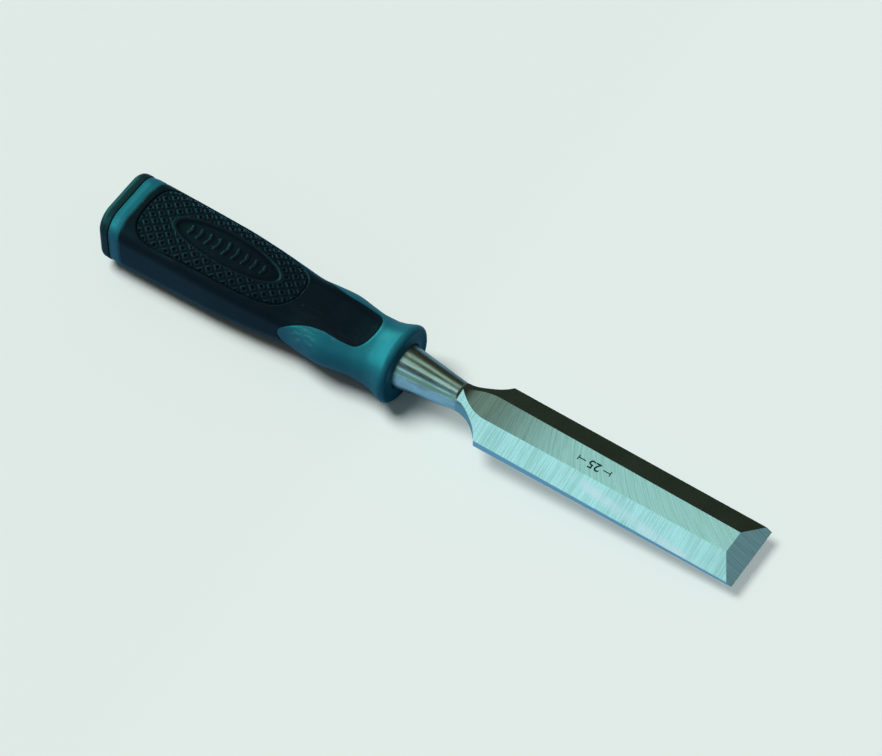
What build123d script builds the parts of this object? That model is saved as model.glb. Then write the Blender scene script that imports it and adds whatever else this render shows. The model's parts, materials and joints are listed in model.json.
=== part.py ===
"""Bench chisel, 25 mm wide: a forged and ground steel blade whose tang is moulded into a two-material handle.

Frame: +X runs along the tool towards the cutting edge, +Z is the bevelled side and the flat back faces -Z.
The origin is the middle of the tool's length and width, at the lowest point of the handle's collar.
A distance called a station is measured from the cutting edge towards the butt, along -X. All sizes are in mm.
"""

import os
from math import cos, radians, sin, sqrt, tan

from build123d import *

# Overall
OVERALL_LENGTH = 247.0
COLLAR_RADIUS = 13.9
AXIS_Z = COLLAR_RADIUS
BACK_Z = AXIS_Z - 2.85
TIP_X = OVERALL_LENGTH / 2

# Ground blade
BLADE_WIDTH = 25.0
SHOULDER_STATION = 98.0
CUTTING_ANGLE = 30.0
TOP_FLAT_WIDTH = 10.0
THICKNESS_AT_TIP = 4.1
THICKNESS_AT_SHOULDER = 5.5
LAND_AT_TIP = 1.1
LAND_AT_SHOULDER = 2.85
FLAT_RUN_OUT_RADIUS = 37.0
FLAT_RUN_OUT_LENGTH = 22.0
BEVEL_END_STATION = 109.9
BEVEL_RUN_OUT_RADIUS = 1.3

# Forged neck and tang
NECK_STATION = 110.5
NECK_RADIUS = 4.9
NECK_TAPER = 0.1325
FLARE_RADIUS = 14.0
FLARE_SECTIONS = 7
FLARE_FLATTENING = 0.9
FLARE_CORNER_SHARE = 0.94
FLARE_CORNER_POWER = 1.6
SHOULDER_CORNER = 0.25
NECK_END_STATION = 135.6
NECK_END_FILLET = 0.6
TANG_END_STATION = 196.0
TANG_ROOT = (9.0, 6.4)
TANG_TIP = (5.6, 4.4)
TANG_NOTCH_DEPTH = 0.7
TANG_NOTCH_LENGTH = 3.0
TANG_NOTCH_STATIONS = (152.0, 164.0, 176.0)

# Handle: station, half width, half height, corner radius of each cross-section
COLLAR_FACE_STATION = 132.6
GRIP_END_STATION = 238.3
CAP_STATION = 242.7
HANDLE_SECTIONS = (
    (COLLAR_FACE_STATION, COLLAR_RADIUS - 0.15, COLLAR_RADIUS - 0.15, 13.3),
    (134.4, COLLAR_RADIUS, COLLAR_RADIUS, 13.4),
    (136.4, 13.3, 13.3, 12.9),
    (139.0, 12.4, 12.2, 11.8),
    (142.4, 11.9, 10.9, 10.5),
    (146.5, 11.9, 10.0, 9.6),
    (152.5, 12.7, 9.5, 9.1),
    (159.5, 13.7, 9.6, 9.2),
    (166.0, 12.9, 10.0, 8.8),
    (172.5, 11.9, 10.3, 8.0),
    (181.0, 12.5, 10.8, 7.7),
    (191.0, 13.3, 11.3, 7.6),
    (205.0, 13.9, 11.9, 7.6),
    (222.0, 14.0, 12.1, 7.4),
    (CAP_STATION, 14.1, 12.2, 7.4),
    (OVERALL_LENGTH, 13.9, 12.0, 7.3),
)
COLLAR_LIP_FILLET = 1.5
BORE_CLEARANCE = 0.35
BORE_MOUTH_DEPTH = 1.6

# Soft grip. The outline of its tongue in plan: station, half width
TONGUE_OUTLINE = (
    (143.8, 0.0),
    (144.8, 5.2),
    (147.2, 7.6),
    (152.5, 8.3),
    (160.0, 8.4),
    (166.3, 9.7),
    (173.1, 11.7),
)
GRIP_THICKNESS = 2.0
LOBE_TIP_STATION = 175.4
LOBE_TIP_HALF_WIDTH = 12.6

# Cutting blocks reach this far beyond the part
CLEAR = 30.0

# Strike cap
CAP_EDGE_FILLET = 2.2
STEM_RADIUS = 6.5
STEM_LENGTH = 16.0
STEM_RING_RADIUS = 7.1
STEM_RING_WIDTH = 2.0
STEM_RING_STATIONS = (230.5, 235.0)


def at(station):
    """X of a station."""
    return TIP_X - station


def cross_plane(station):
    """Plane across the tool's axis: local x is +Y and local y is +Z."""
    return Plane(origin=(at(station), 0, AXIS_Z), x_dir=(0, 1, 0), z_dir=(1, 0, 0))


def cross_section(station, half_width, half_height, corner):
    return cross_plane(station) * RectangleRounded(2 * half_width, 2 * half_height, corner)


def side_outline(curve):
    """Solid wider than the tool from a closed outline drawn in the XZ plane."""
    return extrude(make_face(curve), amount=CLEAR, dir=(0, 1, 0), both=True)


# Blade -----------------------------------------------------------------------------------------------------


def flare_half_width(station):
    """Half width of the concave shoulder, an arc that leaves the neck along the axis."""
    run = NECK_STATION - station
    return NECK_RADIUS + FLARE_RADIUS - sqrt(FLARE_RADIUS**2 - run**2)


def shoulder_flare():
    """Forged blend from the round neck to the full blade width, before grinding."""
    length = NECK_STATION - SHOULDER_STATION
    sections = []
    for i in range(FLARE_SECTIONS):
        share = i / (FLARE_SECTIONS - 1)
        station = NECK_STATION - share * length
        half_width = flare_half_width(station)
        half_height = NECK_RADIUS - FLARE_FLATTENING * share
        corner = NECK_RADIUS * (1 - share**FLARE_CORNER_POWER) * FLARE_CORNER_SHARE + SHOULDER_CORNER * share
        if i == FLARE_SECTIONS - 1:
            half_width = BLADE_WIDTH / 2
        sections.append(cross_section(station, half_width, half_height, corner))
    return loft(sections)


def neck():
    """Round taper that widens towards the handle, with an eased rim at its end."""
    end_radius = NECK_RADIUS + NECK_TAPER * (NECK_END_STATION - NECK_STATION)
    cone = loft([
        cross_plane(NECK_END_STATION) * Circle(end_radius),
        cross_plane(NECK_STATION) * Circle(NECK_RADIUS),
    ])
    rim = cone.edges().filter_by(GeomType.CIRCLE).sort_by(Axis.X)[0]
    return fillet(rim, NECK_END_FILLET)


def tang():
    """Tapered tang, notched on both edges so that the plastic locks it."""
    bar = loft([
        cross_plane(NECK_END_STATION) * Rectangle(*TANG_ROOT),
        cross_plane(TANG_END_STATION) * Rectangle(*TANG_TIP),
    ])
    for station in TANG_NOTCH_STATIONS:
        share = (station - NECK_END_STATION) / (TANG_END_STATION - NECK_END_STATION)
        half_width = (TANG_ROOT[0] + share * (TANG_TIP[0] - TANG_ROOT[0])) / 2
        for side in (-1, 1):
            y = side * (half_width - TANG_NOTCH_DEPTH + CLEAR / 2)
            bar -= Pos(at(station), y, AXIS_Z) * Box(TANG_NOTCH_LENGTH, CLEAR, CLEAR)
    return bar


def ground_profile():
    """Side view of the ground blade: cutting bevel, tapering top flat and flat back, each run out up the neck."""
    bevel_run = THICKNESS_AT_TIP / tan(radians(CUTTING_ANGLE))
    far = at(TANG_END_STATION + CLEAR)
    high = BACK_Z + CLEAR
    low = BACK_Z - CLEAR
    run = FLAT_RUN_OUT_LENGTH
    half = run / 2
    rise, half_rise = (FLAT_RUN_OUT_RADIUS - sqrt(FLAT_RUN_OUT_RADIUS**2 - reach**2) for reach in (run, half))
    start = at(SHOULDER_STATION)
    top = BACK_Z + THICKNESS_AT_SHOULDER
    edges = [
        Line((TIP_X, 0, BACK_Z), (TIP_X - bevel_run, 0, BACK_Z + THICKNESS_AT_TIP)),
        Line((TIP_X - bevel_run, 0, BACK_Z + THICKNESS_AT_TIP), (start, 0, top)),
        ThreePointArc((start, 0, top), (start - half, 0, top + half_rise), (start - run, 0, top + rise)),
        Polyline((start - run, 0, top + rise), (start - run, 0, high), (far, 0, high), (far, 0, low),
                 (start - run, 0, low), (start - run, 0, BACK_Z - rise)),
        ThreePointArc((start - run, 0, BACK_Z - rise), (start - half, 0, BACK_Z - half_rise), (start, 0, BACK_Z)),
        Line((start, 0, BACK_Z), (TIP_X, 0, BACK_Z)),
    ]
    return side_outline(edges)


def bevel_cutter(side):
    """Everything above one side bevel. Its flat bottom ends in a small round run-out beside the neck."""
    edge = Vector(TIP_X, side * BLADE_WIDTH / 2, BACK_Z + LAND_AT_TIP)
    shoulder = Vector(at(SHOULDER_STATION), side * BLADE_WIDTH / 2, BACK_Z + LAND_AT_SHOULDER)
    ridge = Vector(at(SHOULDER_STATION), side * TOP_FLAT_WIDTH / 2, BACK_Z + THICKNESS_AT_SHOULDER)
    along = (edge - shoulder).normalized()
    normal = (ridge - shoulder).cross(along).normalized() * side
    plane = Plane(origin=shoulder, x_dir=along, z_dir=normal)
    length = SHOULDER_STATION + CLEAR
    back = BEVEL_END_STATION - SHOULDER_STATION
    radius = BEVEL_RUN_OUT_RADIUS
    middle = (-back - radius * sin(radians(45)), 0, radius * (1 - cos(radians(45))))
    profile = [
        Line((length, 0, 0), (-back, 0, 0)),
        ThreePointArc((-back, 0, 0), middle, (-back - radius, 0, radius)),
        Polyline((-back - radius, 0, radius), (-back - radius, 0, CLEAR), (length, 0, CLEAR), (length, 0, 0)),
    ]
    return plane * extrude(make_face(profile), amount=CLEAR, dir=(0, 1, 0), both=True)


def blade():
    """One forging: ground blade, shoulder, neck and tang."""
    bar_height = 2 * (NECK_RADIUS - FLARE_FLATTENING)
    bar = Pos(at(SHOULDER_STATION / 2), 0, AXIS_Z) * Box(SHOULDER_STATION, BLADE_WIDTH, bar_height)
    forging = bar + shoulder_flare() + neck() + tang()
    ground = forging & ground_profile()
    for side in (-1, 1):
        ground -= bevel_cutter(side)
    return ground


# Handle ----------------------------------------------------------------------------------------------------


def handle_form(inset=0.0):
    """Outer form of the whole handle, or the same form drawn in by inset all round."""
    sections = []
    for station, half_width, half_height, corner in HANDLE_SECTIONS:
        sections.append(cross_section(station, half_width - inset, half_height - inset, corner - inset))
    return loft(sections)


def between(start, end):
    """Block that holds everything between two stations."""
    return Pos(at((start + end) / 2), 0, AXIS_Z) * Box(end - start, 2 * CLEAR, 2 * CLEAR)


def grip_region():
    """Plan of the soft grip, through the whole height: full girth behind, a rounded tongue in front."""
    rear = at(GRIP_END_STATION)
    lobe = at(LOBE_TIP_STATION)
    outline = [Polyline((lobe, CLEAR), (rear, CLEAR), (rear, -CLEAR), (lobe, -CLEAR))]
    for side in (-1, 1):
        points = [(at(station), side * half_width) for station, half_width in TONGUE_OUTLINE]
        outline.append(Spline(points, tangents=[(0, side), (-0.95, 0.3 * side)]))
        outline.append(Polyline(points[-1], (lobe, side * LOBE_TIP_HALF_WIDTH), (lobe, side * CLEAR)))
    return extrude(make_face(outline), amount=2 * CLEAR)


def soft_grip(form):
    """Overmoulded shell that fills the recess in the core flush with its surface."""
    return (form - handle_form(GRIP_THICKNESS)) & grip_region()


def strike_cap(form):
    """Cap over the butt, on a stem with two retaining rings."""
    head = form & between(CAP_STATION, OVERALL_LENGTH + CLEAR)
    rear = head.faces().sort_by(Axis.X)[0]
    head = fillet(rear.edges(), CAP_EDGE_FILLET)
    stem_plane = Plane(origin=(at(CAP_STATION), 0, AXIS_Z), z_dir=(1, 0, 0))
    stem = extrude(stem_plane * Circle(STEM_RADIUS), amount=STEM_LENGTH)
    for station in STEM_RING_STATIONS:
        ring_plane = Plane(origin=(at(station), 0, AXIS_Z), z_dir=(1, 0, 0))
        stem += extrude(ring_plane * Circle(STEM_RING_RADIUS), amount=STEM_RING_WIDTH)
    return head + stem


def handle_core(form, grip, cap, steel):
    """Hard core moulded round the tang. It shows as the collar, the side lobes and the band before the cap."""
    body = form & between(COLLAR_FACE_STATION, CAP_STATION)
    lip = body.faces().sort_by(Axis.X)[-1]
    body = fillet(lip.edges(), COLLAR_LIP_FILLET)
    mouth_radius = NECK_RADIUS + NECK_TAPER * (COLLAR_FACE_STATION - NECK_STATION) + BORE_CLEARANCE
    mouth_plane = Plane(origin=(at(COLLAR_FACE_STATION), 0, AXIS_Z), z_dir=(-1, 0, 0))
    mouth = extrude(mouth_plane * Circle(mouth_radius), amount=BORE_MOUTH_DEPTH)
    return body - mouth - steel - grip - cap


def build():
    form = handle_form()
    steel = blade()
    grip = soft_grip(form)
    cap = strike_cap(form)
    core = handle_core(form, grip, cap, steel)
    return {"blade": steel, "handle_core": core, "soft_grip": grip, "strike_cap": cap}


os.makedirs("parts", exist_ok=True)
for node, shape in build().items():
    export_step(shape, f"parts/{node}.step")
    print(node, "volume", round(shape.volume / 1000, 2), "cm3, solids", len(shape.solids()))
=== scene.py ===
"""Looks of the 25 mm bench chisel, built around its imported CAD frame.

The blade is the CAD forging with a ground-steel material. The moulded core, the soft grip and the strike
cap are finer meshes of the same pieces, drawn in millimetres by station (distance from the cutting edge) and
turned into metres when a mesh is made. A point on the handle's skin is given by its station and by its arc,
the distance along the cross-section from the middle of the top (or of the underside).
"""

import json
from math import cos, pi, radians, sin

import bpy
import numpy as np
from mathutils import Matrix, Vector


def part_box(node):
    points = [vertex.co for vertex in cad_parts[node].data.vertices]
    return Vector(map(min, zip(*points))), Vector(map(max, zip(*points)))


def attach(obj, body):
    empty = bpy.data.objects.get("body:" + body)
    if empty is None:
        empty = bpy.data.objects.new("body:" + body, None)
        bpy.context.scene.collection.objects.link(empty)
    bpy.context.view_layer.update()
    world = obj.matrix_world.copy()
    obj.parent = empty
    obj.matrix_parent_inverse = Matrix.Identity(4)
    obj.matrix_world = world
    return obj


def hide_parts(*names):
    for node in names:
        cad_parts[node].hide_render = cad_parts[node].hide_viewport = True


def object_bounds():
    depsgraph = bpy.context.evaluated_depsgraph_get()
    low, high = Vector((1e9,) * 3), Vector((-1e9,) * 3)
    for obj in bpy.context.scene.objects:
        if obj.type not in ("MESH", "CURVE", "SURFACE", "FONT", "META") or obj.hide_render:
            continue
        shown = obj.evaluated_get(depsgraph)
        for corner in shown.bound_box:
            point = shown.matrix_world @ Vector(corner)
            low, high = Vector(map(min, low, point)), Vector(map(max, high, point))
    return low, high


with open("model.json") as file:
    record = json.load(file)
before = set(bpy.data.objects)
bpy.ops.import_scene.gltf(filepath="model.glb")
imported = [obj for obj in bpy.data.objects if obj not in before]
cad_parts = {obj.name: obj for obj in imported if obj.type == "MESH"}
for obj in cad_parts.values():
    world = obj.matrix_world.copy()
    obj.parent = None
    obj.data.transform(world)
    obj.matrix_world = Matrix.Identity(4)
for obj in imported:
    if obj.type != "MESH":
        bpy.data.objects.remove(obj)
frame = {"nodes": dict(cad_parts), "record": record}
cad_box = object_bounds()

# Frame ------------------------------------------------------------------------------------------------------

MM = 0.001
TIP_X = cad_box[1].x / MM
OVERALL_LENGTH = (cad_box[1].x - cad_box[0].x) / MM
AXIS_Z = (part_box("handle_core")[0].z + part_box("handle_core")[1].z) / 2 / MM
BACK_Z = frame["record"]["mounts"][0]["pos_m"][2] / MM
COLLAR_FACE = TIP_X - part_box("handle_core")[1].x / MM
CAP_STATION = TIP_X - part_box("handle_core")[0].x / MM

# Handle form: station, half width, half height, corner radius
SECTIONS = np.array([
    (132.6, 13.75, 13.75, 13.3),
    (134.4, 13.9, 13.9, 13.4),
    (136.4, 13.3, 13.3, 12.9),
    (139.0, 12.4, 12.2, 11.8),
    (142.4, 11.9, 10.9, 10.5),
    (146.5, 11.9, 10.0, 9.6),
    (152.5, 12.7, 9.5, 9.1),
    (159.5, 13.7, 9.6, 9.2),
    (166.0, 12.9, 10.0, 8.8),
    (172.5, 11.9, 10.3, 8.0),
    (181.0, 12.5, 10.8, 7.7),
    (191.0, 13.3, 11.3, 7.6),
    (205.0, 13.9, 11.9, 7.6),
    (222.0, 14.0, 12.1, 7.4),
    (242.7, 14.1, 12.2, 7.4),
    (247.0, 13.9, 12.0, 7.3),
])
GRIP_THICKNESS = 2.0
GRIP_END = 238.3
BAND_FALL = 0.3
LIP_RADIUS = 1.5
BORE_RADIUS = 8.18
BORE_DEPTH = 1.6
NECK_RADIUS = 7.85
TANG_ROOT = (135.6, 4.5, 3.2)
TANG_TIP = (196.0, 2.8, 2.2)
CAP_FILLET = 2.2
STEM_RADIUS = 6.5
STEM_LENGTH = 16.0
STEM_CLEARANCE = 0.05
STEM_CHAMFER = 0.6
COLLAR_DISH = 0.35
CAP_DISH = 0.35

# Outlines on the handle's skin: station, arc
TONGUE = ((143.8, 0.0), (144.8, 5.2), (147.2, 7.9), (152.5, 8.55), (160.0, 8.6), (166.3, 10.2),
          (173.1, 14.6), (175.4, 18.9))
PANEL = ((173.6, 0.0), (174.5, 4.9), (178.2, 8.7), (183.8, 10.7), (195.0, 12.0), (213.5, 12.5),
         (224.2, 12.9), (229.6, 12.4), (232.2, 10.9), (234.4, 8.0), (235.7, 0.0))
END_PULL = 1.2
PLAQUE_CENTRE = 202.9
PLAQUE_HALF_LENGTH = 20.9
PLAQUE_HALF_WIDTH = 6.4
STUD_ORIGIN = 229.7
STUD_PITCH = (4.66, 3.9)
RIB_STATIONS = np.linspace(188.4, 217.4, 9)
RIB_REACH = 2.3
RIB_SHORTER_AT_ENDS = 0.9
RIB_ROW_HALF_LENGTH = 14.5
RIB_LEAN = 0.25

# Heights above the plain skin
STUD_CHANNEL = -0.34
STUD_RISE = 0.28
PLAQUE_EDGE = -0.62
PLAQUE_CROWN = 0.22
RIB_RISE = 0.38
PLAQUE_RIM = -0.08
PANEL_GROOVE = -0.6
GRIP_EDGE = -0.2
CORE_EDGE = -0.14


def smoothstep(low, high, x):
    t = np.clip((x - low) / (high - low), 0, 1)
    return t * t * (3 - 2 * t)


def at(station):
    return TIP_X - station


def hermite(x, knots, values, slopes):
    """Cubic through the knots with the given slopes."""
    i = np.clip(np.searchsorted(knots, x, side="right") - 1, 0, len(knots) - 2)
    h = knots[i + 1] - knots[i]
    t = (x - knots[i]) / h
    rise = (2 * t**3 - 3 * t**2 + 1) * values[i] + (3 * t**2 - 2 * t**3) * values[i + 1]
    return rise + h * ((t**3 - 2 * t**2 + t) * slopes[i] + (t**3 - t**2) * slopes[i + 1])


def gentle_slopes(knots, values):
    """Slopes that never overshoot: the harmonic mean of the two sides, or level at a turn."""
    step = np.diff(values) / np.diff(knots)
    slopes = np.zeros(len(knots))
    same = step[1:] * step[:-1] > 0
    slopes[1:-1][same] = 2 * step[1:][same] * step[:-1][same] / (step[1:] + step[:-1])[same]
    slopes[0], slopes[-1] = step[0], step[-1]
    return slopes


SECTION_SLOPES = [gentle_slopes(SECTIONS[:, 0], SECTIONS[:, k]) for k in (1, 2, 3)]


def section(station):
    """Half width, half height and corner radius at each station."""
    x = np.clip(station, SECTIONS[0, 0], SECTIONS[-1, 0])
    return [hermite(x, SECTIONS[:, 0], SECTIONS[:, k], SECTION_SLOPES[k - 1]) for k in (1, 2, 3)]


def quarter_arc(station):
    """Arc from the middle of the top to the middle of the side."""
    half_width, half_height, corner = section(station)
    return half_width + half_height - 2 * corner + pi / 2 * corner


def skin(station, arc, side_y, side_z, height):
    """Points of the handle's skin raised by height along the surface normal across the tool."""
    half_width, half_height, corner = section(station)
    flat_y, flat_z = half_width - corner, half_height - corner
    angle = np.clip((arc - flat_y) / corner, 0, pi / 2)
    beyond = np.maximum(arc - flat_y - pi / 2 * corner, 0)
    y = np.minimum(arc, flat_y) + (corner + height) * np.sin(angle)
    z = flat_z - beyond + (corner + height) * np.cos(angle)
    return np.stack([at(station) + 0 * y, side_y * y, AXIS_Z + side_z * z], -1)


def columns(shares):
    """Column layout round the tool from one quarter's shares of arc: share, y side, z side of each column."""
    back = shares[::-1]
    quarters = [(shares[:-1], 1, 1), (back[:-1], 1, -1), (shares[:-1], -1, -1), (back[:-1], -1, 1)]
    parts = [np.stack([part, part * 0 + y, part * 0 + z]) for part, y, z in quarters]
    return np.concatenate(parts, 1)


def smooth_line(points, per_span=24):
    """Smooth line through points, leaving the first and reaching the last straight across."""
    points = np.array(points, float)
    chord = np.linalg.norm(np.diff(points, axis=0), axis=1)
    knots = np.concatenate([[0], np.cumsum(np.sqrt(chord))])
    slopes = np.zeros_like(points)
    for i in range(1, len(points) - 1):
        before = (points[i] - points[i - 1]) / (knots[i] - knots[i - 1])
        after = (points[i + 1] - points[i]) / (knots[i + 1] - knots[i])
        share = (knots[i] - knots[i - 1]) / (knots[i + 1] - knots[i - 1])
        slopes[i] = before * (1 - share) + after * share
    slopes[0] = (0, END_PULL * (points[1, 1] - points[0, 1]) / knots[1])
    slopes[-1] = (0, END_PULL * (points[-1, 1] - points[-2, 1]) / (knots[-1] - knots[-2]))
    x = np.linspace(0, knots[-1], per_span * (len(points) - 1) + 1)
    return np.stack([hermite(x, knots, points[:, k], slopes[:, k]) for k in (0, 1)], 1)


def distance_inside(line, station, arc, open_end):
    """Distance from each skin point to the line, positive on the side of smaller arcs. Beyond the line's
    last station everything is inside where open_end is true."""
    distance = np.empty(station.shape)
    for r in range(len(station)):
        gap = np.hypot(station[r][:, None] - line[:, 0], arc[r][:, None] - line[:, 1])
        distance[r] = gap.min(1)
    limit = np.interp(station, line[:, 0], line[:, 1], left=-1, right=1e3 if open_end else -1)
    return np.where(arc < limit, distance, -distance)


# Mesh building ----------------------------------------------------------------------------------------------


def new_piece(name, points, polygons, sharp_angle, relief=None):
    """Mesh object in metres from points in millimetres, without unused points. relief is each point's height
    above the plain skin, in millimetres, for the material to read."""
    used = np.unique(np.concatenate([np.asarray(p) for p in polygons]))
    renumber = np.zeros(len(points), int)
    renumber[used] = np.arange(len(used))
    mesh = bpy.data.meshes.new(name)
    mesh.from_pydata((points[used] * MM).tolist(), [], [renumber[list(p)].tolist() for p in polygons])
    mesh.update()
    mesh.polygons.foreach_set("use_smooth", [True] * len(mesh.polygons))
    mesh.set_sharp_from_angle(angle=radians(sharp_angle))
    if relief is not None:
        heights = mesh.attributes.new("relief", "FLOAT", "POINT")
        heights.data.foreach_set("value", relief[used].astype(np.float32))
    piece = bpy.data.objects.new(name, mesh)
    bpy.context.scene.collection.objects.link(piece)
    return piece


def clip(level):
    """Splits a grid that is closed across its columns along level 0. Gives the polygons inside and outside,
    the seam edges, and the cut points as (corner, corner, share)."""
    rows, cols = level.shape
    flat = level.ravel()
    cuts, cut_list = {}, []
    inside, outside, seam = [], [], []

    def cut(a, b):
        key = (min(a, b), max(a, b))
        if key not in cuts:
            share = flat[key[0]] / (flat[key[0]] - flat[key[1]])
            cuts[key] = rows * cols + len(cut_list)
            cut_list.append((*key, share))
        return cuts[key]

    for r in range(rows - 1):
        for c in range(cols):
            e = (c + 1) % cols
            corners = (r * cols + c, r * cols + e, (r + 1) * cols + e, (r + 1) * cols + c)
            signs = [bool(flat[k] > 0) for k in corners]
            if all(signs):
                inside.append(corners)
            elif not any(signs):
                outside.append(corners)
            else:
                polygons, crossing = ([], []), {}
                for k in range(4):
                    a, b = corners[k], corners[(k + 1) % 4]
                    polygons[signs[k]].append(a)
                    if signs[k] != signs[(k + 1) % 4]:
                        point = cut(a, b)
                        polygons[0].append(point)
                        polygons[1].append(point)
                        crossing[signs[k]] = point
                outside.append(tuple(polygons[0]))
                inside.append(tuple(polygons[1]))
                seam.append((crossing[True], crossing[False]))
    return inside, outside, seam, cut_list


def with_cuts(grid, cut_list):
    """Grid points, or their values, followed by those of the cut points between them."""
    flat = grid.reshape(-1, grid.shape[-1])
    ends = np.array([(a, b) for a, b, _ in cut_list])
    share = np.array([s for _, _, s in cut_list])[:, None]
    return np.concatenate([flat, flat[ends[:, 0]] * (1 - share) + flat[ends[:, 1]] * share])


# Grip -------------------------------------------------------------------------------------------------------

TONGUE_LINE = smooth_line(TONGUE)
PANEL_LINE = smooth_line(PANEL)


def grip_level(station, arc, side_y, side_z):
    """Distance inside the soft grip's outline. The rear edge is a little ragged, and pulled in at one corner,
    as moulded."""
    ragged = 0.07 * np.sin(arc * 0.9 + 2 * side_y) + 0.04 * np.sin(arc * 2.3 + side_z)
    corner_pull = 1.3 * np.exp(-(((arc - 12.0) / 5.0) ** 2)) * (side_y > 0) * (side_z > 0)
    rear = GRIP_END - ragged - corner_pull - station
    return np.minimum(distance_inside(TONGUE_LINE, station, arc, True), rear)


def stud_height(station, arc):
    """Raised square frames on a diagonal lattice: 1 on top of a frame, 0 in the channels, -1 in a dimple.
    reach runs from 0 in the middle of a frame to 0.5 between two frames."""
    along = (station - STUD_ORIGIN) / STUD_PITCH[0]
    across = arc / STUD_PITCH[1]
    p, q = along + across, along - across
    reach = np.maximum(abs(p - np.round(p)), abs(q - np.round(q)))
    return smoothstep(0.37, 0.30, reach) - 2.0 * smoothstep(0.22, 0.13, reach)


def rib_height(station, arc):
    """Row of plain slanted ribs along the plaque."""
    total = 0
    for centre in RIB_STATIONS:
        reach = RIB_REACH - RIB_SHORTER_AT_ENDS * abs(centre - PLAQUE_CENTRE) / RIB_ROW_HALF_LENGTH
        leaning = station - centre - RIB_LEAN * arc
        gap = np.hypot(leaning, np.maximum(abs(arc) - reach, 0))
        total = total + smoothstep(0.72, 0.45, gap)
    return total


def panel_height(station, arc):
    """Recessed panel: engraved outline, studs, and a smooth plaque with a rim."""
    inside = distance_inside(PANEL_LINE, station, arc, False)
    radius = np.hypot((station - PLAQUE_CENTRE) / PLAQUE_HALF_LENGTH, arc / PLAQUE_HALF_WIDTH)
    plaque = (1 - radius) * PLAQUE_HALF_WIDTH
    clear_of_edges = smoothstep(0.2, 0.5, inside) * smoothstep(-0.3, -0.6, plaque)
    studs = STUD_CHANNEL + STUD_RISE * stud_height(station, arc) * clear_of_edges
    ribs = rib_height(station, arc) * smoothstep(0.8, 1.3, plaque)
    floor = PLAQUE_EDGE + PLAQUE_CROWN * smoothstep(0.3, 2.2, plaque) + RIB_RISE * ribs
    inner_side = PLAQUE_RIM + (floor - PLAQUE_RIM) * smoothstep(0.0, 0.35, plaque)
    field = studs + (inner_side - studs) * smoothstep(-0.55, -0.3, plaque)
    groove = PANEL_GROOVE * smoothstep(0.45, 0.12, abs(inside))
    recess = field * smoothstep(0.0, 0.3, inside)
    return np.minimum(recess, groove)


# First, last and spacing of the mesh rows along the grip
GRIP_ROWS = ((143.2, 173, 0.33), (173, 236.2, 0.25), (236.2, 239, 0.17))
PANEL_SHARE = 0.57
HIDDEN_FACE_THINNING = 0.515


def soft_grip():
    """Rubber shell over the core with its textured panels. Columns are dense where a panel may be."""
    dense = np.linspace(0, PANEL_SHARE, 59)
    sparse = np.linspace(PANEL_SHARE, 1, 15)[1:]
    share, side_y, side_z = columns(np.concatenate([dense, sparse]))
    stations = np.concatenate([np.arange(start, stop, step) for start, stop, step in GRIP_ROWS])
    station = stations[:, None] + 0 * share
    arc = quarter_arc(station) * share
    level = grip_level(station, arc, side_y, side_z)
    height = panel_height(station, arc) + GRIP_EDGE * (1 - smoothstep(0, 0.55, level))
    inside, _, seam, cut_list = clip(level)
    relief = with_cuts(height[..., None], cut_list)[:, 0]
    outer = with_cuts(skin(station, arc, side_y, side_z, height), cut_list)
    inner = with_cuts(skin(station, arc, side_y, side_z, -GRIP_THICKNESS + 0 * station), cut_list)
    n = len(outer)
    polygons = inside + [tuple(k + n for k in reversed(p)) for p in inside]
    polygons += [(b, a, a + n, b + n) for a, b in seam]
    relief = np.concatenate([relief, relief * 0])
    piece = new_piece("soft_grip_moulding", np.concatenate([outer, inner]), polygons, 50, relief)
    thin_out_inside(piece, len(inside))
    return piece


def thin_out_inside(piece, outer_faces):
    """Fewer triangles on the hidden face that lies on the core."""
    hidden = piece.vertex_groups.new(name="hidden")
    shown = set()
    for polygon in list(piece.data.polygons)[:outer_faces]:
        shown.update(polygon.vertices)
    hidden.add([v.index for v in piece.data.vertices if v.index not in shown], 1.0, "REPLACE")
    thin = piece.modifiers.new("thin_hidden_face", "DECIMATE")
    thin.ratio = HIDDEN_FACE_THINNING
    thin.vertex_group = "hidden"
    thin.vertex_group_factor = 100


# Core -------------------------------------------------------------------------------------------------------


def ring_circle(station, radius, share, side_y, side_z):
    """Round ring about the handle's axis."""
    angle = share * pi / 2
    y = side_y * radius * np.sin(angle)
    z = AXIS_Z + side_z * radius * np.cos(angle)
    return np.stack([at(station) + 0 * share, y, z], -1)


def ring_box(station, half_width, half_height, share, side_y, side_z):
    """Rectangular ring whose columns follow the round ones."""
    sine, cosine = (np.maximum(wave(share * pi / 2), 1e-6) for wave in (np.sin, np.cos))
    reach = np.minimum(half_width / sine, half_height / cosine)
    return ring_circle(station, reach, share, side_y, side_z)


def ring_skin(station, inset, layout):
    """Ring that follows the handle's section, inset below its skin."""
    share, side_y, side_z = layout
    stations = station + 0 * share
    return skin(stations, quarter_arc(stations) * share, side_y, side_z, -inset + 0 * share)


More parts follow.
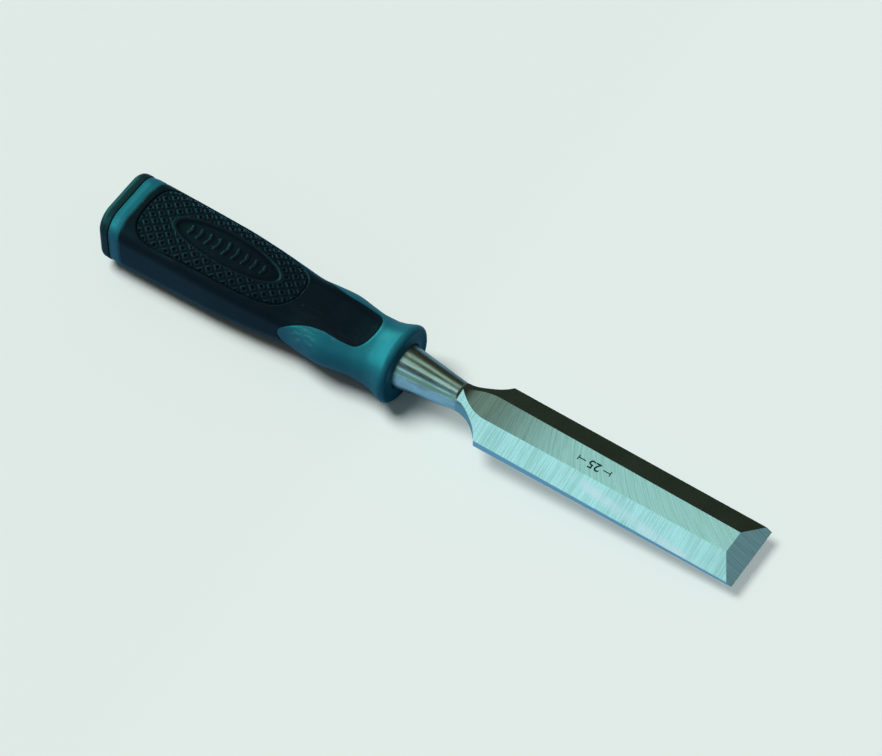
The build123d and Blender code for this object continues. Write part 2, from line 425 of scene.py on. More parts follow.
def collar_rings(layout):
    """Rings from the tang's pocket through the neck's bore and over the collar's face to its rounded edge."""
    pocket = [ring_box(*TANG_TIP, *layout), ring_box(*TANG_ROOT, *layout),
              ring_circle(TANG_ROOT[0], NECK_RADIUS, *layout),
              ring_circle(COLLAR_FACE + BORE_DEPTH, NECK_RADIUS, *layout),
              ring_circle(COLLAR_FACE + BORE_DEPTH, BORE_RADIUS, *layout),
              ring_circle(COLLAR_FACE + 0.3, BORE_RADIUS, *layout),
              ring_circle(COLLAR_FACE + 0.09, BORE_RADIUS + 0.09, *layout)]
    lip_start = ring_skin(COLLAR_FACE, LIP_RADIUS, layout)
    bore_edge = ring_circle(COLLAR_FACE, BORE_RADIUS + 0.3, *layout)
    for k in np.linspace(0, 1, 9):
        dish = COLLAR_DISH * sin(k * pi)
        pocket.append(bore_edge * (1 - k) + lip_start * k - np.array([dish, 0, 0]))
    for angle in np.linspace(0, pi / 2, 9)[1:]:
        behind, inset = LIP_RADIUS * (1 - cos(angle)), LIP_RADIUS * (1 - sin(angle))
        pocket.append(ring_skin(COLLAR_FACE + behind, inset, layout))
    return pocket


def handle_core():
    """Hard core: collar, skin, the recess under the grip, and the bore for the cap's stem."""
    layout = columns(np.linspace(0, 1, 53))
    share, side_y, side_z = layout
    pocket = collar_rings(layout)
    last_skin = CAP_STATION - 0.3
    stations = np.concatenate([np.arange(COLLAR_FACE + LIP_RADIUS + 0.3, 236.0, 0.42),
                               np.arange(236.0, last_skin, 0.2), [last_skin]])
    station = stations[:, None] + 0 * share
    arc = quarter_arc(station) * share
    skin_level = grip_level(station, arc, side_y, side_z)
    seam_dip = CORE_EDGE * (1 - smoothstep(0, 0.4, -skin_level))
    height = seam_dip - BAND_FALL * smoothstep(GRIP_END + 1.2, CAP_STATION, station)
    skin_outer = skin(station, arc, side_y, side_z, height)
    skin_inner = skin(station, arc, side_y, side_z, -GRIP_THICKNESS + 0 * station)
    tail = [ring_skin(CAP_STATION - 0.1, BAND_FALL + 0.06, layout),
            ring_skin(CAP_STATION, BAND_FALL + 0.3, layout),
            ring_circle(CAP_STATION, STEM_RADIUS, *layout),
            ring_circle(CAP_STATION - STEM_LENGTH, STEM_RADIUS, *layout)]
    outer = np.concatenate([pocket, skin_outer, tail])
    inner = np.concatenate([pocket, skin_inner, tail])
    plain = [-np.ones((len(rings), len(share))) for rings in (pocket, tail)]
    level = np.concatenate([plain[0], skin_level, plain[1]])
    inside, outside, seam, cut_list = clip(level)
    outer, inner = with_cuts(outer, cut_list), with_cuts(inner, cut_list)
    n = len(outer)
    polygons = outside + [tuple(k + n for k in p) for p in inside]
    polygons += [(a, b, b + n, a + n) for a, b in seam]
    last = (len(level) - 1) * len(share)
    polygons += [tuple(range(len(share)))[::-1], tuple(range(last, last + len(share)))]
    return new_piece("handle_core_moulding", np.concatenate([outer, inner]), polygons, 50)


# Strike cap -------------------------------------------------------------------------------------------------


def closed_tube(name, rings, sharp_angle):
    """Rings joined in a row, with a flat face over each end."""
    rows, cols = len(rings), len(rings[0])
    polygons = []
    for r in range(rows - 1):
        for c in range(cols):
            e = (c + 1) % cols
            polygons.append((r * cols + c, r * cols + e, (r + 1) * cols + e, (r + 1) * cols + c))
    polygons.append(tuple(range(cols))[::-1])
    polygons.append(tuple(range((rows - 1) * cols, rows * cols)))
    return new_piece(name, np.concatenate(rings), polygons, sharp_angle)


def strike_cap():
    """Cap with its stem, a rounded rim and a shallow dish in its face."""
    layout = columns(np.linspace(0, 1, 41))
    stem_end = CAP_STATION - STEM_LENGTH
    rings = [ring_circle(stem_end + STEM_CHAMFER, STEM_RADIUS - STEM_CHAMFER, *layout),
             ring_circle(stem_end + 2 * STEM_CHAMFER, STEM_RADIUS - STEM_CLEARANCE, *layout),
             ring_circle(CAP_STATION, STEM_RADIUS - STEM_CLEARANCE, *layout),
             ring_skin(CAP_STATION + 0.02, 0.3, layout),
             ring_skin(CAP_STATION + 0.1, 0.12, layout),
             ring_skin(CAP_STATION + 0.3, 0.05, layout)]
    end = OVERALL_LENGTH - CAP_FILLET
    rings += [ring_skin(station, 0.04, layout) for station in np.linspace(CAP_STATION + 0.6, end, 4)]
    for angle in np.linspace(0, pi / 2, 9)[1:]:
        rings.append(ring_skin(end + CAP_FILLET * sin(angle), 0.04 + CAP_FILLET * (1 - cos(angle)), layout))
    edge = rings[-1]
    centre = np.array([at(OVERALL_LENGTH), 0, AXIS_Z])
    for k in np.linspace(1, 0.04, 12)[1:]:
        dish = CAP_DISH * smoothstep(0.93, 0.8, k)
        rings.append(centre + (edge - centre) * k + np.array([dish, 0, 0]))
    return closed_tube("strike_cap_moulding", rings, 50)


# Size mark --------------------------------------------------------------------------------------------------

MARK_CENTRE = (at(59.3), -0.1)
MARK_SIZE = 4.6
MARK_STROKE = 0.17
MARK_LINE = (3.3, 6.0)
MARK_TICK = 1.0
MARK_HEIGHT = 0.012
HALF_MARK = 0.01
BLADE_LENGTH = 98.0
TIP_THICKNESS = 4.1
SHOULDER_THICKNESS = 5.5


def size_mark():
    """Etched width of the blade, between the two ends of a dimension line."""
    text = bpy.data.curves.new("size_mark", "FONT")
    text.body = "25"
    text.align_x, text.align_y = "CENTER", "CENTER"
    text.size = MARK_SIZE * MM
    text.offset = 0.05 * MM
    text.extrude = HALF_MARK * MM
    text.resolution_u = 6
    label = bpy.data.objects.new("size_mark_text", text)
    digits = bpy.data.meshes.new_from_object(label)
    bpy.data.objects.remove(label)
    points = [v.co / MM for v in digits.vertices]
    polygons = [tuple(p.vertices) for p in digits.polygons]
    for side in (-1, 1):
        inner, outer = (side * x for x in MARK_LINE)
        line = (min(inner, outer), max(inner, outer), MARK_STROKE)
        tick = (outer - MARK_STROKE, outer + MARK_STROKE, MARK_TICK)
        for low, high, reach in (line, tick):
            start = len(points)
            corners = ((low, -reach), (high, -reach), (high, reach), (low, reach))
            points += [Vector((x, y, z)) for z in (-HALF_MARK, HALF_MARK) for x, y in corners]
            faces = [(0, 3, 2, 1), (4, 5, 6, 7), (0, 1, 5, 4), (1, 2, 6, 5), (2, 3, 7, 6), (3, 0, 4, 7)]
            polygons += [tuple(start + k for k in f) for f in faces]
    slope = (SHOULDER_THICKNESS - TIP_THICKNESS) / BLADE_LENGTH
    height = BACK_Z + TIP_THICKNESS + slope * (TIP_X - MARK_CENTRE[0]) + MARK_HEIGHT
    turned = np.array([(-p[0], -p[1], p[2]) for p in points])
    turned[:, 2] += height - slope * turned[:, 0]
    turned[:, 0] += MARK_CENTRE[0]
    turned[:, 1] += MARK_CENTRE[1]
    return new_piece("size_mark", turned, polygons, 30)


# Materials --------------------------------------------------------------------------------------------------


class Nodes:
    """Short forms for building one material's node tree."""

    def __init__(self, material):
        material.use_nodes = True
        self.tree = material.node_tree
        self.tree.nodes.clear()
        self.output = self.tree.nodes.new("ShaderNodeOutputMaterial")
        self.shader = self.tree.nodes.new("ShaderNodeBsdfPrincipled")
        self.link(self.shader.outputs[0], self.output.inputs[0])
        self.place = self.tree.nodes.new("ShaderNodeTexCoord").outputs["Object"]

    def link(self, source, target):
        self.tree.links.new(source, target)

    def put(self, target, value):
        if isinstance(value, bpy.types.NodeSocket):
            self.link(value, target)
        else:
            target.default_value = value

    def math(self, operation, a, b=0.0, c=0.0):
        node = self.tree.nodes.new("ShaderNodeMath")
        node.operation = operation
        for socket, value in zip(node.inputs, (a, b, c)):
            self.put(socket, value)
        return node.outputs[0]

    def step(self, value, low, high):
        """0 below low, 1 above high, smooth between. Low may be the larger one."""
        node = self.tree.nodes.new("ShaderNodeMapRange")
        node.interpolation_type = "SMOOTHSTEP"
        self.put(node.inputs["Value"], value)
        node.inputs["From Min"].default_value = min(low, high)
        node.inputs["From Max"].default_value = max(low, high)
        node.inputs["To Min"].default_value = float(low > high)
        node.inputs["To Max"].default_value = float(low < high)
        return node.outputs["Result"]

    def mix(self, share, a, b, blend="MIX"):
        node = self.tree.nodes.new("ShaderNodeMix")
        node.data_type = "RGBA"
        node.blend_type = blend
        self.put(node.inputs["Factor"], share)
        first_colour, second_colour, mixed_colour = 6, 7, 2
        self.put(node.inputs[first_colour], a)
        self.put(node.inputs[second_colour], b)
        return node.outputs[mixed_colour]

    def scaled(self, scale, turn=(0, 0, 0), shift=(0, 0, 0)):
        """Object place in millimetres, turned, moved and then stretched."""
        node = self.tree.nodes.new("ShaderNodeMapping")
        node.vector_type = "POINT"
        self.link(self.place, node.inputs["Vector"])
        node.inputs["Location"].default_value = shift
        node.inputs["Rotation"].default_value = [radians(a) for a in turn]
        node.inputs["Scale"].default_value = [s / MM for s in scale]
        return node.outputs[0]

    def noise(self, vector, detail, rough):
        """Noise with one cell for each unit of the vector."""
        node = self.tree.nodes.new("ShaderNodeTexNoise")
        self.link(vector, node.inputs["Vector"])
        node.inputs["Scale"].default_value = 1.0
        node.inputs["Detail"].default_value = detail
        node.inputs["Roughness"].default_value = rough
        return node.outputs["Fac"]

    def specks(self, size, amount, spread=1.0):
        """Small round spots: 1 in the middle of a spot. amount is the share of cells that hold one."""
        node = self.tree.nodes.new("ShaderNodeTexVoronoi")
        self.link(self.scaled((1, 1, 1)), node.inputs["Vector"])
        node.inputs["Scale"].default_value = 1 / spread
        near = self.step(node.outputs["Distance"], size / spread, 0.4 * size / spread)
        split = self.tree.nodes.new("ShaderNodeSeparateColor")
        self.link(node.outputs["Color"], split.inputs[0])
        return self.math("MULTIPLY", near, self.math("LESS_THAN", split.outputs[0], amount))

    def bump(self, height, distance, strength=1.0, normal=None):
        node = self.tree.nodes.new("ShaderNodeBump")
        self.put(node.inputs["Height"], height)
        node.inputs["Distance"].default_value = distance * MM
        node.inputs["Strength"].default_value = strength
        if normal is not None:
            self.link(normal, node.inputs["Normal"])
        return node.outputs[0]

    def xyz(self, vector):
        node = self.tree.nodes.new("ShaderNodeSeparateXYZ")
        self.link(vector, node.inputs[0])
        return node.outputs

    def distance(self, place):
        """Distance in metres from a place in millimetres."""
        node = self.tree.nodes.new("ShaderNodeVectorMath")
        node.operation = "DISTANCE"
        self.link(self.place, node.inputs[0])
        node.inputs[1].default_value = Vector(place) * MM
        return node.outputs["Value"]

    def parting_line(self, reach, core):
        """1 within core of the mould's mid plane, 0 beyond reach, in millimetres."""
        off_line = self.math("SUBTRACT", self.xyz(self.place)[2], AXIS_Z * MM)
        return self.step(self.math("ABSOLUTE", off_line), reach * MM, core * MM)

    def normal(self):
        return self.xyz(self.tree.nodes.new("ShaderNodeNewGeometry").outputs["True Normal"])

    def pointiness(self):
        return self.tree.nodes.new("ShaderNodeNewGeometry").outputs["Pointiness"]

    def relief(self):
        node = self.tree.nodes.new("ShaderNodeAttribute")
        node.attribute_name = "relief"
        return node.outputs["Fac"]


def new_material(name):
    material = bpy.data.materials.new(name)
    return material, Nodes(material)


# Painted pink sheen along the near bevel, a painted reflection: station and side distance where it starts,
# and its slope
PAINTED_SHEEN_START = (61.3, -7.4)
PAINTED_SHEEN_SLOPE = 0.116


def ground_steel():
    """Bright steel, ground in a different direction on each facet, drawn lengthwise on the neck."""
    material, n = new_material("ground_steel")
    nx, ny, nz = n.normal()
    x, y, _ = n.xyz(n.place)

    # Facets, each 1 on its own surface
    blade = n.step(x, at(110.5) * MM, at(109.5) * MM)
    flat = n.math("MULTIPLY", n.step(nz, 0.955, 0.975), n.step(x, at(118) * MM, at(112) * MM))
    bevel = n.math("MULTIPLY", n.step(n.math("ABSOLUTE", ny), 0.2, 0.28), n.step(nz, 0.85, 0.9))
    bevel = n.math("MULTIPLY", bevel, blade)
    near = n.math("MULTIPLY", bevel, n.math("LESS_THAN", ny, 0.0))
    edge = n.step(nx, 0.35, 0.45)
    sideways = n.step(n.math("ABSOLUTE", ny), 0.9, 0.97)
    land = n.math("MULTIPLY", sideways, n.step(x, at(99) * MM, at(97.5) * MM))
    neck = n.math("SUBTRACT", 1.0, blade)

    # Grinding lines, fine and broad
    swirl = n.noise(sweep_place(n, 1.2, 0.03), 3.0, 0.9)
    swirl_wide = n.noise(sweep_place(n, 0.5, 0.015), 3.0, 0.8)
    cross = n.noise(n.scaled((1.9, 0.04, 0.04), turn=(0, 0, -19)), 3.0, 0.85)
    cross_wide = n.noise(n.scaled((0.12, 0.05, 0.05)), 2.0, 0.6)
    fall = n.noise(n.scaled((0.08, 2.6, 0.08)), 3.0, 0.7)
    fall_wide = n.noise(n.scaled((0.02, 1.8, 0.02)), 3.0, 0.7)
    drawn = n.noise(n.scaled((0.01, 2.4, 2.4)), 3.0, 0.6)
    drawn_wide = n.noise(n.scaled((0.006, 0.42, 0.42), shift=(0, 2.3, 1.1)), 2.0, 0.55)
    cloud = n.noise(n.scaled((0.09, 0.09, 0.09)), 3.0, 0.6)

    grain = n.math("MULTIPLY", swirl, flat)
    grain = n.math("MULTIPLY_ADD", cross, near, grain)
    grain = n.math("MULTIPLY_ADD", fall, edge, grain)
    grain = n.math("MULTIPLY_ADD", drawn, neck, grain)
    broad = n.math("MULTIPLY", swirl_wide, flat)
    broad = n.math("MULTIPLY_ADD", cross_wide, bevel, broad)
    broad = n.math("MULTIPLY_ADD", fall_wide, edge, broad)
    broad = n.math("MULTIPLY_ADD", cloud, neck, broad)

    # Colour: grain, painted shade on the flat, painted pink sheen, painted neck reflections, neck stains,
    # lands, specks
    colour = n.mix(n.step(broad, 0.3, 0.7), (0.50, 0.61, 0.59, 1), (0.62, 0.74, 0.73, 1))
    colour = n.mix(n.math("MULTIPLY", n.step(grain, 0.42, 0.58), 0.65), colour, (0.84, 0.95, 0.96, 1))
    # Painted shade: the flat's run-out darkens towards the neck, as its reflection fades there.
    flat_painted_shade = n.math("MULTIPLY", n.step(x, at(62) * MM, at(110) * MM), n.math("SUBTRACT", blade, bevel))
    flat_painted_shade = n.math("MULTIPLY", flat_painted_shade, n.step(nz, 0.5, 0.8))
    colour = n.mix(n.math("MULTIPLY", flat_painted_shade, 0.92), colour, (0.36, 0.26, 0.21, 1), "MULTIPLY")
    # Painted reflection: a faint pink sheen streak along the near bevel.
    painted_sheen_line = (PAINTED_SHEEN_SLOPE * at(PAINTED_SHEEN_START[0]) + PAINTED_SHEEN_START[1]) * MM
    off_painted_sheen = n.math("SUBTRACT", n.math("MULTIPLY_ADD", x, PAINTED_SHEEN_SLOPE, y), painted_sheen_line)
    painted_sheen = n.math("MULTIPLY", n.step(n.math("ABSOLUTE", off_painted_sheen), 2.4 * MM, 0.3 * MM), near)
    painted_sheen = n.math("MULTIPLY", painted_sheen, n.step(x, at(70) * MM, at(56) * MM))
    painted_sheen = n.math("MULTIPLY", n.math("MULTIPLY", painted_sheen, 0.75), n.step(x, at(8) * MM, at(20) * MM))
    colour = n.mix(n.math("MULTIPLY", painted_sheen, n.step(broad, 0.2, 0.7)), colour, (1.0, 0.80, 0.86, 1))
    colour = n.mix(n.math("MULTIPLY", neck, 0.6), colour, (1.0, 1.0, 0.96, 1))
    # Painted reflection: the neck turns browner and darker on its far, upper side, by the way that side
    # faces.
    neck_far_painted_reflection = n.math("MULTIPLY", n.step(ny, -0.50, -0.22), neck)
    colour = n.mix(n.math("MULTIPLY", neck_far_painted_reflection, 0.9), colour, (0.76, 0.65, 0.57, 1), "MULTIPLY")
    # Painted reflection: a dark green band low on the neck's near side, placed by the way the surface faces.
    neck_painted_reflection_stripe = n.math("MULTIPLY", n.step(ny, -0.87, -0.77), n.step(ny, -0.62, -0.71))
    neck_painted_reflection_stripe = n.math("MULTIPLY", neck_painted_reflection_stripe, neck)
    colour = n.mix(neck_painted_reflection_stripe, colour, (0.40, 0.52, 0.34, 1), "MULTIPLY")
    streak = n.math("MULTIPLY", n.step(drawn_wide, 0.46, 0.64), neck)
    colour = n.mix(n.math("MULTIPLY", streak, 0.5), colour, (0.34, 0.31, 0.19, 1))
    rusty = n.math("MULTIPLY", n.step(drawn_wide, 0.42, 0.36), n.step(x, at(124) * MM, at(131) * MM))
    colour = n.mix(n.math("MULTIPLY", rusty, 0.35), colour, (0.45, 0.26, 0.17, 1))
    colour = n.mix(land, colour, (0.62, 0.78, 0.85, 1))
    colour = n.mix(n.math("MULTIPLY", n.specks(0.2, 0.04, 2.6), neck), colour, (0.12, 0.09, 0.05, 1))
    colour = n.mix(n.math("MULTIPLY", n.specks(0.12, 0.03, 3.5), 0.6), colour, (0.75, 0.85, 0.85, 1))
    n.put(n.shader.inputs["Base Color"], colour)
    n.shader.inputs["Metallic"].default_value = 1.0
    rough = n.math("MULTIPLY_ADD", grain, 0.12, n.math("MULTIPLY_ADD", neck, 0.05, 0.18))
    n.put(n.shader.inputs["Roughness"], rough)
    n.put(n.shader.inputs["Normal"], n.bump(grain, 0.010, 0.7))
    return material


def sweep_place(n, across, along):
    """Coordinates for grinding lines that lean more and more towards the neck on their way to the tip. The
    lean grows with the distance ahead of x = 15, in units of 100 mm."""
    x, y, _ = n.xyz(n.place)
    ahead = n.math("MULTIPLY_ADD", x, 0.01 / MM, -0.15)
    lean = n.math("MULTIPLY", ahead, n.math("MULTIPLY_ADD", ahead, 0.652, 1.008))
    node = n.tree.nodes.new("ShaderNodeCombineXYZ")
    n.put(node.inputs[0], n.math("MULTIPLY", n.math("MULTIPLY_ADD", lean, y, x), across / MM))
    n.put(node.inputs[1], n.math("MULTIPLY", y, along / MM))
    return node.outputs[0]


PLASTIC_SHINE = (0.42, 0.95, 1.0, 1)


def hard_plastic(name, dark, light, roughness, shine, scuffed, worn_spot=None):
    """Satin moulded plastic with a parting line along both sides, flow clouds and light scuffs."""
    material, n = new_material(name)
    cloud = n.noise(n.scaled((0.12, 0.16, 0.16)), 3.0, 0.55)
    fine = n.noise(n.scaled((7, 7, 7)), 3.0, 0.6)
    pores = n.noise(n.scaled((2.2, 2.2, 2.2)), 2.0, 0.5)
    scuff = n.noise(n.scaled((0.3, 1.3, 1.3), turn=(0, 25, 30)), 6.0, 0.75)
    patches = n.noise(n.scaled((0.13, 0.13, 0.13), shift=(3.1, 1.7, 0.4)), 1.0, 0.5)
    scuff_zone = n.step(patches, 0.58, 0.75)
    if worn_spot:
        scuff_zone = n.math("MAXIMUM", scuff_zone, n.step(n.distance(worn_spot), 8 * MM, 3 * MM))
    scuff = n.math("MULTIPLY", n.math("MULTIPLY", n.step(scuff, 0.48, 0.66), scuff_zone), scuffed)
    parting = n.parting_line(0.14, 0.05)
    colour = n.mix(cloud, dark, light)
    pale = tuple(0.6 * c + white for c, white in zip(light[:3], (0.10, 0.20, 0.20))) + (1,)
    colour = n.mix(scuff, colour, pale)
    colour = n.mix(n.math("MULTIPLY", n.specks(0.1, 0.08, 2.2), 0.55), colour, pale)
    colour = n.mix(n.math("MULTIPLY", parting, 0.45), colour, tuple(0.35 * c for c in dark[:3]) + (1,))
    n.put(n.shader.inputs["Base Color"], colour)
    rough = n.math("MULTIPLY_ADD", fine, 0.12, roughness - 0.06)
    n.put(n.shader.inputs["Roughness"], n.math("MULTIPLY_ADD", scuff, 0.2, rough))
    n.shader.inputs["IOR"].default_value = 1.48
    facing = n.step(n.normal()[0], 0.7, 0.95)
    n.put(n.shader.inputs["Specular IOR Level"], n.math("MULTIPLY_ADD", facing, -0.7 * shine, shine))
    n.shader.inputs["Specular Tint"].default_value = PLASTIC_SHINE
    height = n.math("MULTIPLY_ADD", pores, 0.5, fine)
    relief = n.bump(height, 0.012, 0.5)
    n.put(n.shader.inputs["Normal"], n.bump(parting, 0.05, 0.6, relief))
    return material


def soft_rubber():
    """Matt overmoulded rubber: fine grain, dust in the pores and edges worn a little paler."""
    material, n = new_material("soft_rubber")
    cloud = n.noise(n.scaled((0.1, 0.14, 0.14)), 3.0, 0.6)
    fine = n.noise(n.scaled((5, 5, 5)), 4.0, 0.65)
    smear = n.noise(n.scaled((0.25, 1.2, 1.2), turn=(0, 0, 20)), 4.0, 0.6)
    parting = n.parting_line(0.24, 0.08)
    colour = n.mix(cloud, (0.0016, 0.0040, 0.0064, 1), (0.0030, 0.0070, 0.0108, 1))
    colour = n.mix(n.math("MULTIPLY", n.step(smear, 0.52, 0.75), 0.25), colour, (0.012, 0.022, 0.026, 1))
    colour = n.mix(n.math("MULTIPLY", n.specks(0.22, 0.04, 1.8), 0.5), colour, (0.10, 0.15, 0.16, 1))
    worn = n.step(n.pointiness(), 0.53, 0.62)
    colour = n.mix(n.math("MULTIPLY", worn, 0.4), colour, (0.016, 0.028, 0.031, 1))
    relief = n.relief()
    # Painted light: raised frame tops and the plaque rim are coloured paler, as if catching the light.
    painted_light_on_raised = n.math("MULTIPLY", n.step(relief, -0.22, -0.12), n.math("LESS_THAN", relief, -0.01))
    colour = n.mix(n.math("MULTIPLY", painted_light_on_raised, 0.5), colour, (0.006, 0.013, 0.016, 1))
    # Painted shade: the dimples, the engraved outline and the plaque's edge are coloured near black, where
    # shade falls.
    painted_shade_in_hollows = n.math("MULTIPLY", n.step(relief, -0.45, -0.62), 0.55)
    colour = n.mix(painted_shade_in_hollows, colour, (0.0004, 0.0008, 0.0010, 1))
    colour = n.mix(n.math("MULTIPLY", parting, 0.6), colour, (0.0006, 0.0010, 0.0014, 1))
    n.put(n.shader.inputs["Base Color"], colour)
    n.put(n.shader.inputs["Roughness"], n.math("MULTIPLY_ADD", fine, 0.16, 0.36))
    n.shader.inputs["IOR"].default_value = 1.45
    n.shader.inputs["Specular IOR Level"].default_value = 0.14
    n.shader.inputs["Specular Tint"].default_value = (1.0, 0.82, 0.95, 1)
    n.shader.inputs["Sheen Weight"].default_value = 0.42
    n.shader.inputs["Sheen Roughness"].default_value = 0.3
    n.shader.inputs["Sheen Tint"].default_value = (0.16, 0.62, 1.0, 1)
    relief = n.bump(fine, 0.02, 0.5)
    n.put(n.shader.inputs["Normal"], n.bump(parting, 0.04, 0.5, relief))
    return material


def etching():
    """Dark oxide of the etched mark."""
    material, n = new_material("etched_oxide")
    blot = n.noise(n.scaled((3, 3, 3)), 3.0, 0.6)
    n.put(n.shader.inputs["Base Color"], n.mix(blot, (0.003, 0.005, 0.004, 1), (0.012, 0.018, 0.016, 1)))
    n.put(n.shader.inputs["Roughness"], n.math("MULTIPLY_ADD", blot, 0.3, 0.45))
    n.put(n.shader.inputs["Normal"], n.bump(blot, 0.01, 0.4))
    return material


# Stage, light and camera ------------------------------------------------------------------------------------

# Camera: place, directions of its back and right, focal length on a 36 mm sensor, and shift
CAMERA_PLACE = (459.35, -691.23, 1181.89)
CAMERA_BACK = (0.32101, -0.48148, 0.81555)
CAMERA_RIGHT = (0.83203, 0.55473, 0.0)
LENS = 179.06
SHIFT = (0.0184, 0.00425)

SUN_TRAVEL = (0.42, 0.125, -0.90)
SUN_SPREAD = 29

# Paper: rise from the collar to the tip, half length of the bend that starts it, level beyond the top
PAPER_RISE = 5.6
PAPER_BEND = 12
PAPER_TOP = 200
PAPER_REACH = 6000.0
PAPER_GAP = 0.1
PAPER_WHITE = (0.80, 0.865, 0.845, 1)
PAPER_SHADE = (0.16, 0.34, 0.50, 1)


def stage_floor():
    """Plain pale paper under the handle, swept up gently below the blade."""
    slope = PAPER_RISE / (TIP_X - at(COLLAR_FACE))
    profile = [(-PAPER_REACH, 0.0)]
    for x in np.linspace(at(COLLAR_FACE) - PAPER_BEND, at(COLLAR_FACE) + PAPER_BEND, 9):
        ahead = x - at(COLLAR_FACE) + PAPER_BEND
        profile.append((x, slope * ahead**2 / (4 * PAPER_BEND)))
    top = TIP_X + PAPER_TOP
    profile.append((top, slope * (top - at(COLLAR_FACE))))
    profile.append((PAPER_REACH, profile[-1][1]))
    sides = (-PAPER_REACH, PAPER_REACH)
    points = [Vector((x, y, z - PAPER_GAP)) * MM for x, z in profile for y in sides]
    faces = [(2 * k, 2 * k + 2, 2 * k + 3, 2 * k + 1) for k in range(len(profile) - 1)]
    mesh = bpy.data.meshes.new("floor")
    mesh.from_pydata(points, [], faces)
    mesh.polygons.foreach_set("use_smooth", [True] * len(faces))
    floor = bpy.data.objects.new("floor", mesh)
    bpy.context.scene.collection.objects.link(floor)
    mesh.materials.append(paper())


def paper():
    """White paper to the eye. Lit surfaces see it as the cooler grey that it has in their shade."""
    material = bpy.data.materials.new("floor_paper")
    material.use_nodes = True
    tree = material.node_tree
    tree.nodes.clear()
    output = tree.nodes.new("ShaderNodeOutputMaterial")
    seen = tree.nodes.new("ShaderNodeBsdfDiffuse")
    seen.inputs["Color"].default_value = PAPER_WHITE
    mirrored = tree.nodes.new("ShaderNodeBsdfDiffuse")
    mirrored.inputs["Color"].default_value = PAPER_SHADE
    path = tree.nodes.new("ShaderNodeLightPath")
    mix = tree.nodes.new("ShaderNodeMixShader")
    tree.links.new(path.outputs["Is Camera Ray"], mix.inputs[0])
    tree.links.new(mirrored.outputs[0], mix.inputs[1])
    tree.links.new(seen.outputs[0], mix.inputs[2])
    tree.links.new(mix.outputs[0], output.inputs[0])
    return material


def hang(name, data, travel):
    """Puts a light that shines along travel into the scene."""
    lamp = bpy.data.objects.new(name, data)
    bpy.context.scene.collection.objects.link(lamp)
    lamp.rotation_mode = "QUATERNION"
    lamp.rotation_quaternion = Vector(travel).to_track_quat("-Z", "Y")
    return lamp


def sun(name, energy, blockers=()):
    """Broad light from above the butt. Where blockers are given, only they throw its shadow."""
    data = bpy.data.lights.new(name, "SUN")
    data.energy = energy
    data.angle = radians(SUN_SPREAD)
    data.color = (0.97, 1.0, 0.98)
    lamp = hang(name, data, SUN_TRAVEL)
    lamp.visible_glossy = False
    if blockers:
        lamp.light_linking.blocker_collection = bpy.data.collections.new(name)
        for piece in blockers:
            lamp.light_linking.blocker_collection.objects.link(piece)


def stage_light(handle):
    """Key from above the butt, low fill, and cards that only glossy surfaces see. The blade's shade is paler
    than the handle's, as light from the pale steel would make it."""
    sun("key", 1.66)
    sun("key_over_handle", 1.25, handle)

    world = bpy.data.worlds.new("studio")
    bpy.context.scene.world = world
    world.use_nodes = True
    tree = world.node_tree
    tree.nodes.clear()
    output = tree.nodes.new("ShaderNodeOutputWorld")
    air = tree.nodes.new("ShaderNodeBackground")
    air.inputs["Color"].default_value = (0.97, 1.0, 1.0, 1)
    air.inputs["Strength"].default_value = 0.12
    mirrored = tree.nodes.new("ShaderNodeBackground")
    mirrored.inputs["Color"].default_value = (0.030, 0.034, 0.021, 1)
    path = tree.nodes.new("ShaderNodeLightPath")
    mix = tree.nodes.new("ShaderNodeMixShader")
    tree.links.new(path.outputs["Is Glossy Ray"], mix.inputs[0])
    tree.links.new(air.outputs[0], mix.inputs[1])
    tree.links.new(mirrored.outputs[0], mix.inputs[2])
    tree.links.new(mix.outputs[0], output.inputs[0])

    # Cards: place, target, size and radiance
    card("overhead", (-85, -95, 600), (-85, -95, 0), (280, 200), (0.62, 1.10, 1.13))
    card("back_overhead", (-58, 340, 600), (-58, 340, 0), (314, 220), (0.51, 0.91, 0.86))
    card("front_low", (-60, -900, 400), (0, 0, 20), (1400, 640), (0.30, 0.56, 0.74))
    card("beyond_tip", (700, 430, 620), (100, 0, 0), (420, 420), (0.14, 0.27, 0.32))
    card("behind_butt", (-490, -40, 200), (-10, 0, 14), (880, 270), (1.0, 5.8, 5.6))


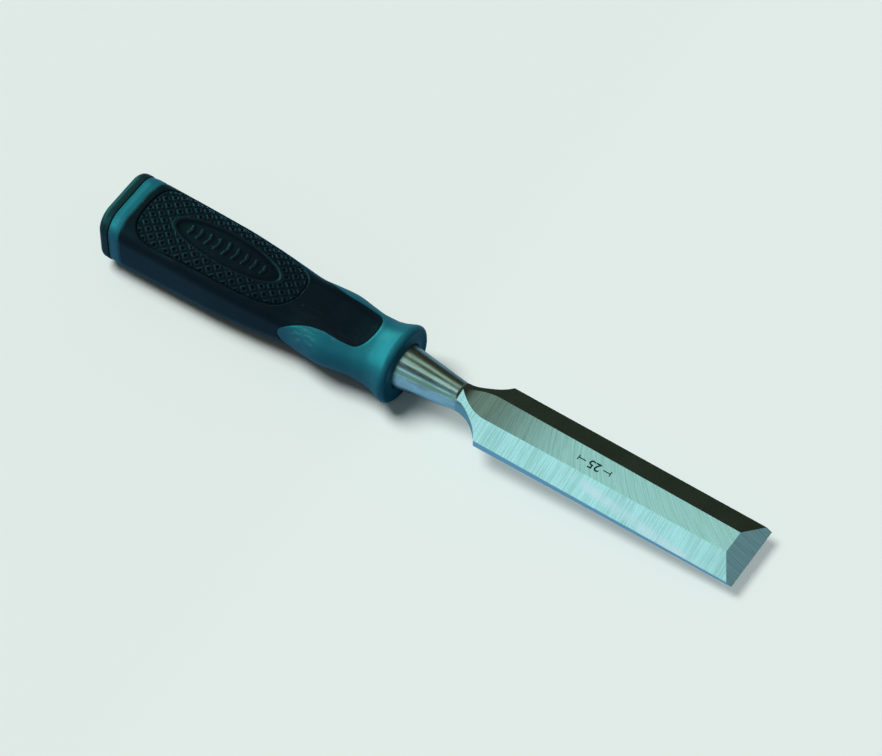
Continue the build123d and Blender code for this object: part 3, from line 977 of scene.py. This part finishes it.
def card(name, place, target, size, radiance):
    """Panel of the given radiance that only reflections see."""
    strength = max(radiance)
    light = bpy.data.lights.new(name, "AREA")
    light.shape = "RECTANGLE"
    light.size, light.size_y = size[0] * MM, size[1] * MM
    light.color = [c / strength for c in radiance]
    light.energy = strength * pi * size[0] * size[1] * MM * MM
    lamp = hang(name, light, Vector(target) - Vector(place))
    lamp.location = Vector(place) * MM
    lamp.visible_camera = False
    lamp.visible_diffuse = False


def camera():
    """Long lens from high above the blade's near side."""
    data = bpy.data.cameras.new("camera")
    data.sensor_width = 36
    data.lens = LENS
    data.shift_x, data.shift_y = SHIFT
    data.clip_start, data.clip_end = 0.05, 30
    eye = bpy.data.objects.new("camera", data)
    bpy.context.scene.collection.objects.link(eye)
    back, right = Vector(CAMERA_BACK), Vector(CAMERA_RIGHT)
    up = back.cross(right)
    turned = Matrix((right, up, back)).transposed().to_4x4()
    eye.matrix_world = Matrix.Translation(Vector(CAMERA_PLACE) * MM) @ turned
    bpy.context.scene.camera = eye


# Assembly ---------------------------------------------------------------------------------------------------


def dress(piece, material, node=None):
    """Gives a piece its material and says where it rides, and hides the CAD node that it stands for."""
    piece.data.materials.clear()
    piece.data.materials.append(material)
    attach(piece, "root")
    if node:
        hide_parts(node)


steel = frame["nodes"]["blade"]
steel.data.materials.clear()
steel.data.materials.append(ground_steel())
dress(size_mark(), etching())
core = handle_core()
grip = soft_grip()
cap = strike_cap()
core_plastic = hard_plastic(
    "core_plastic", dark=(0.006, 0.090, 0.124, 1), light=(0.010, 0.124, 0.160, 1),
    roughness=0.40, shine=0.62, scuffed=0.6, worn_spot=(at(165.2), -11.6, AXIS_Z + 4))
dress(core, core_plastic, "handle_core")
dress(grip, soft_rubber(), "soft_grip")
cap_plastic = hard_plastic(
    "cap_plastic", dark=(0.005, 0.015, 0.017, 1), light=(0.009, 0.024, 0.027, 1),
    roughness=0.38, shine=0.2, scuffed=0.15)
dress(cap, cap_plastic, "strike_cap")
stage_floor()
stage_light((core, grip, cap))
camera()
bpy.context.scene.view_settings.view_transform = "Standard"
